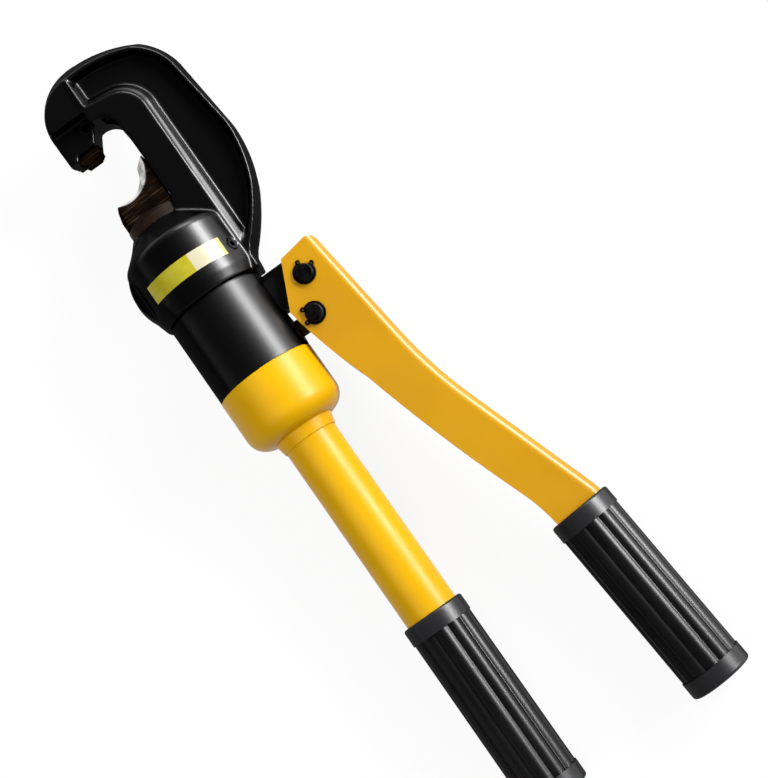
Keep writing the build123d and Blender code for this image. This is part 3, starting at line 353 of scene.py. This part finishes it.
def forged_head():
    """The head with every edge rounded as forging and blasting leave it, and its ways kept clear."""
    cell_size, smoothing, rounds = 0.00076, 0.5, 6
    bm, mesh = merged_copy("head", "forged_head")
    piece = show(bm, mesh, forged_black, "head")
    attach(piece, "frame")
    skin = piece.modifiers.new("skin", "REMESH")
    skin.mode = "VOXEL"
    skin.voxel_size = cell_size
    skin.use_smooth_shade = True
    soften = piece.modifiers.new("soften", "SMOOTH")
    soften.factor = smoothing
    soften.iterations = rounds
    softened = bmesh.new()
    softened.from_object(piece, bpy.context.evaluated_depsgraph_get())
    for vert in softened.verts:
        clear_horn_pocket(vert.co)
        clear_ram_bore(vert.co)
    piece.modifiers.clear()
    softened.to_mesh(mesh)
    softened.free()


def coil_spring(node, name):
    """A spring's wire merged into one skin and shown in place of its imported solid, with its placement
    baked into the mesh.
    """
    bm, mesh = merged_copy(node, name)
    piece = show(bm, mesh, wire, node)
    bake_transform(piece)


coil_spring("ram_return_spring", "return_spring_wire")
coil_spring("outlet_valve_spring", "outlet_spring_wire")
coil_spring("relief_valve_spring", "relief_spring_wire")
forged_head()


# Studio and camera

def white_where_seen(tree, shown, plain, value_socket):
    """One value for what the camera, metal and glass see, another for the light that is given off."""
    path = tree.nodes.new("ShaderNodeLightPath")
    seen = combine(tree, "MAXIMUM", path.outputs["Is Camera Ray"], path.outputs["Is Glossy Ray"])
    seen = combine(tree, "MAXIMUM", seen, path.outputs["Is Transmission Ray"])
    tree.links.new(span(tree, seen, 0.0, 1.0, plain, shown), value_socket)


def studio_floor(lean, drop):
    """A wide pale ground that the collar and both grips lie on, rising to a backdrop far away."""
    half_width, backdrop_height = 6.0, 1.5
    mesh = bpy.data.meshes.new("table_top")
    bm = bmesh.new()
    bmesh.ops.create_grid(bm, x_segments=3, y_segments=3, size=half_width)
    for vert in bm.verts:
        if max(abs(vert.co.x), abs(vert.co.y)) > half_width / 2:
            vert.co.z = backdrop_height
    bmesh.ops.rotate(bm, verts=bm.verts, cent=(0, 0, 0), matrix=Matrix.Rotation(lean, 3, "X"))
    bmesh.ops.translate(bm, verts=bm.verts, vec=(0, 0, drop))
    bm.to_mesh(mesh)
    bm.free()
    top = bpy.data.objects.new("table_top", mesh)
    bpy.context.scene.collection.objects.link(top)
    finish, tree, shader = new_finish("pale_table")
    cloud = span(tree, mottle(tree, 3, 2.0), 0.3, 0.7)
    grey = mix(tree, cloud, (0.10, 0.10, 0.10, 1.0), (0.11, 0.11, 0.11, 1.0))
    tree.links.new(grey, shader.inputs["Base Color"])
    shader.inputs["Roughness"].default_value = 1.0
    shader.inputs["Specular IOR Level"].default_value = 0.0
    shader.inputs["Emission Color"].default_value = (1.0, 1.0, 1.0, 1.0)
    white_where_seen(tree, 0.91, 0.0, shader.inputs["Emission Strength"])
    mesh.materials.append(finish)


def soft_lamp(name, place_at, aim, size, power, shine=True, shed=True):
    lamp = bpy.data.lights.new(name, "AREA")
    lamp.shape = "RECTANGLE"
    lamp.size, lamp.size_y = size
    lamp.energy = power
    holder = bpy.data.objects.new(name, lamp)
    holder.location = place_at
    holder.rotation_euler = (Vector(aim) - Vector(place_at)).to_track_quat("-Z", "Y").to_euler()
    holder.visible_glossy = shine
    holder.visible_diffuse = shed
    bpy.context.scene.collection.objects.link(holder)


def studio_sky():
    """A dim room, darkest overhead and on the side away from the lamps, so black paint stays black."""
    world = bpy.data.worlds.new("studio")
    world.use_nodes = True
    tree = world.node_tree
    source = tree.nodes.new("ShaderNodeTexCoord")
    split = tree.nodes.new("ShaderNodeSeparateXYZ")
    tree.links.new(source.outputs["Generated"], split.inputs["Vector"])
    side = span(tree, split.outputs["X"], -0.85, 0.1)
    shade = mix(tree, side, (0.02, 0.02, 0.02, 1.0), (0.14, 0.14, 0.15, 1.0))
    high = span(tree, split.outputs["Z"], 0.72, 0.95)
    colour = mix(tree, high, shade, (0.015, 0.015, 0.015, 1.0))
    tree.links.new(colour, tree.nodes["Background"].inputs["Color"])
    bpy.context.scene.world = world


studio_floor(radians(-2.67), -0.0176)
studio_sky()
soft_lamp("key_softbox", (1.16, 0.47, 0.64), (0.02, 0.47, 0.02), (0.95, 0.45), 19)
soft_lamp("shine_strip", (1.15, 0.47, 0.66), (0.02, 0.47, 0.02), (0.95, 0.36), 21, shed=False)
soft_lamp("head_softbox", (0.70, 1.35, 0.50), (0.02, 0.36, 0.0), (0.7, 0.4), 8)
soft_lamp("overhead_fill", (-0.60, 0.10, 1.30), (0.02, 0.24, 0.0), (1.4, 1.4), 13, shine=False)

camera = bpy.data.cameras.new("photo_camera")
camera.sensor_fit = "HORIZONTAL"
camera.sensor_width = 36
camera.lens = 75.021
camera.clip_end = 50
camera_holder = bpy.data.objects.new("photo_camera", camera)
camera_holder.location = (0.07352969, 0.11613531, 0.8408578)
camera_holder.rotation_euler = (radians(4.88472), radians(5.6543), radians(-35.202))
bpy.context.scene.collection.objects.link(camera_holder)
bpy.context.scene.camera = camera_holder
bpy.context.scene.view_settings.view_transform = "Standard"
